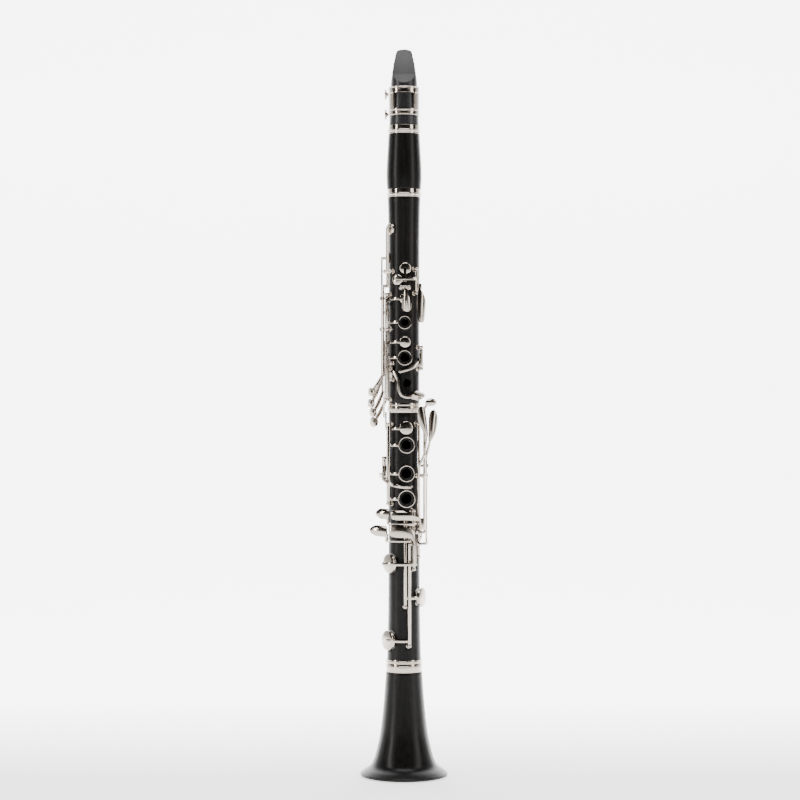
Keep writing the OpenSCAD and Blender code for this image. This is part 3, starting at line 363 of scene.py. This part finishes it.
def area_light(name, place, size, power, colour=(1, 1, 1)):
    """A rectangular panel turned to face the middle of the clarinet."""
    data = bpy.data.lights.new(name, "AREA")
    data.shape = "RECTANGLE"
    data.size, data.size_y = size
    data.energy = power
    data.color = colour
    obj = bpy.data.objects.new(name, data)
    obj.location = place
    obj.rotation_euler = (Vector(AIM) - Vector(place)).to_track_quat("-Z", "Y").to_euler()
    bpy.context.scene.collection.objects.link(obj)


def axis_of(tree, coords, axis, factor):
    """One component of a direction or a place, times a factor."""
    parts = tree.nodes.new("ShaderNodeSeparateXYZ")
    scaled = tree.nodes.new("ShaderNodeMath")
    scaled.operation = "MULTIPLY"
    scaled.inputs[1].default_value = factor
    tree.links.new(coords, parts.inputs["Vector"])
    tree.links.new(parts.outputs[axis], scaled.inputs[0])
    return scaled.outputs["Value"]


def multiplied(tree, one, other):
    """The product of two colours."""
    node = tree.nodes.new("ShaderNodeVectorMath")
    node.operation = "MULTIPLY"
    tree.links.new(one, node.inputs[0])
    tree.links.new(other, node.inputs[1])
    return node.outputs["Vector"]


def grey(level):
    return (level, level, level)


def warm_grey(level):
    return (level, level * 0.985, level * 0.96)


def world():
    """Soft light from the front quarters, dim sides, and a dark patch behind the camera and above.

    The dark parts draw the fine dark lines that polished metal shows in a studio.
    """
    made = bpy.data.worlds.new("studio")
    bpy.context.scene.world = made
    made.use_nodes = True
    tree = made.node_tree
    tree.nodes.clear()
    out = tree.nodes.new("ShaderNodeOutputWorld")
    back = tree.nodes.new("ShaderNodeBackground")
    coords = tree.nodes.new("ShaderNodeTexCoord").outputs["Generated"]
    around = ramp(tree, axis_of(tree, coords, "Y", -1),
                  [(0.0, warm_grey(0.2)), (0.2, warm_grey(0.1)), (0.42, warm_grey(0.55)),
                   (0.78, warm_grey(0.62)), (0.92, warm_grey(0.05))])
    above = ramp(tree, axis_of(tree, coords, "Z", 1),
                 [(0.1, warm_grey(1)), (0.24, warm_grey(0.25)), (0.5, warm_grey(0.06))])
    tree.links.new(multiplied(tree, around, above), back.inputs["Color"])
    tree.links.new(back.outputs["Background"], out.inputs["Surface"])


FLOOR_HALF = 12.0
FLOOR_FRONT = -14.0
WALL_AT = 1.6
WALL_TOP = 6.0
BEND = 0.8
BEND_STEPS = 16
GLOW_REACH = 4.0
GLOW_STRENGTH = 5


def paper():
    """Matt white paper that glows where it lies behind the clarinet and fades to both sides."""
    mat, tree, shader = new_material("paper")
    shade = object_noise(tree, 1.5, (1, 1, 1), 1)
    tree.links.new(ramp(tree, shade, [(0.3, grey(0.9)), (0.7, grey(0.93))]), shader.inputs["Base Color"])
    shader.inputs["Roughness"].default_value = 0.95
    coords = tree.nodes.new("ShaderNodeTexCoord").outputs["Object"]
    off_middle = tree.nodes.new("ShaderNodeMath")
    off_middle.operation = "ABSOLUTE"
    tree.links.new(axis_of(tree, coords, "X", 1 / GLOW_REACH), off_middle.inputs[0])
    sideways = ramp(tree, off_middle.outputs["Value"], [(0.17, grey(1)), (0.6, grey(0.12))])
    backwards = ramp(tree, axis_of(tree, coords, "Y", 1), [(0.0, grey(0.25)), (0.5, grey(1))])
    tree.links.new(multiplied(tree, sideways, backwards), shader.inputs["Emission Color"])
    shader.inputs["Emission Strength"].default_value = GLOW_STRENGTH
    return mat


def backdrop():
    """A white floor that curves up into a wall behind."""
    profile = [(FLOOR_FRONT, 0.0), (WALL_AT - BEND, 0.0)]
    for i in range(1, BEND_STEPS + 1):
        a = math.radians(90) * i / BEND_STEPS
        profile.append((WALL_AT - BEND + BEND * math.sin(a), BEND - BEND * math.cos(a)))
    profile.append((WALL_AT, WALL_TOP))
    mesh = bpy.data.meshes.new("floor")
    verts = [(x, y, z) for y, z in profile for x in (-FLOOR_HALF, FLOOR_HALF)]
    faces = [(2 * i, 2 * i + 1, 2 * i + 3, 2 * i + 2) for i in range(len(profile) - 1)]
    mesh.from_pydata(verts, [], faces)
    for face in mesh.polygons:
        face.use_smooth = True
    obj = bpy.data.objects.new("floor", mesh)
    bpy.context.scene.collection.objects.link(obj)
    paint(obj, paper())


camera()
world()
backdrop()
WARM_WHITE = (1, 0.97, 0.93)
area_light("left_panel", (-1.75, -1.0, 0.98), (0.22, 1.9), 20, WARM_WHITE)
area_light("right_panel", (1.6, -0.9, 0.98), (0.6, 1.9), 14, WARM_WHITE)
area_light("top_panel", (0, -0.6, 1.9), (1.4, 0.9), 20)
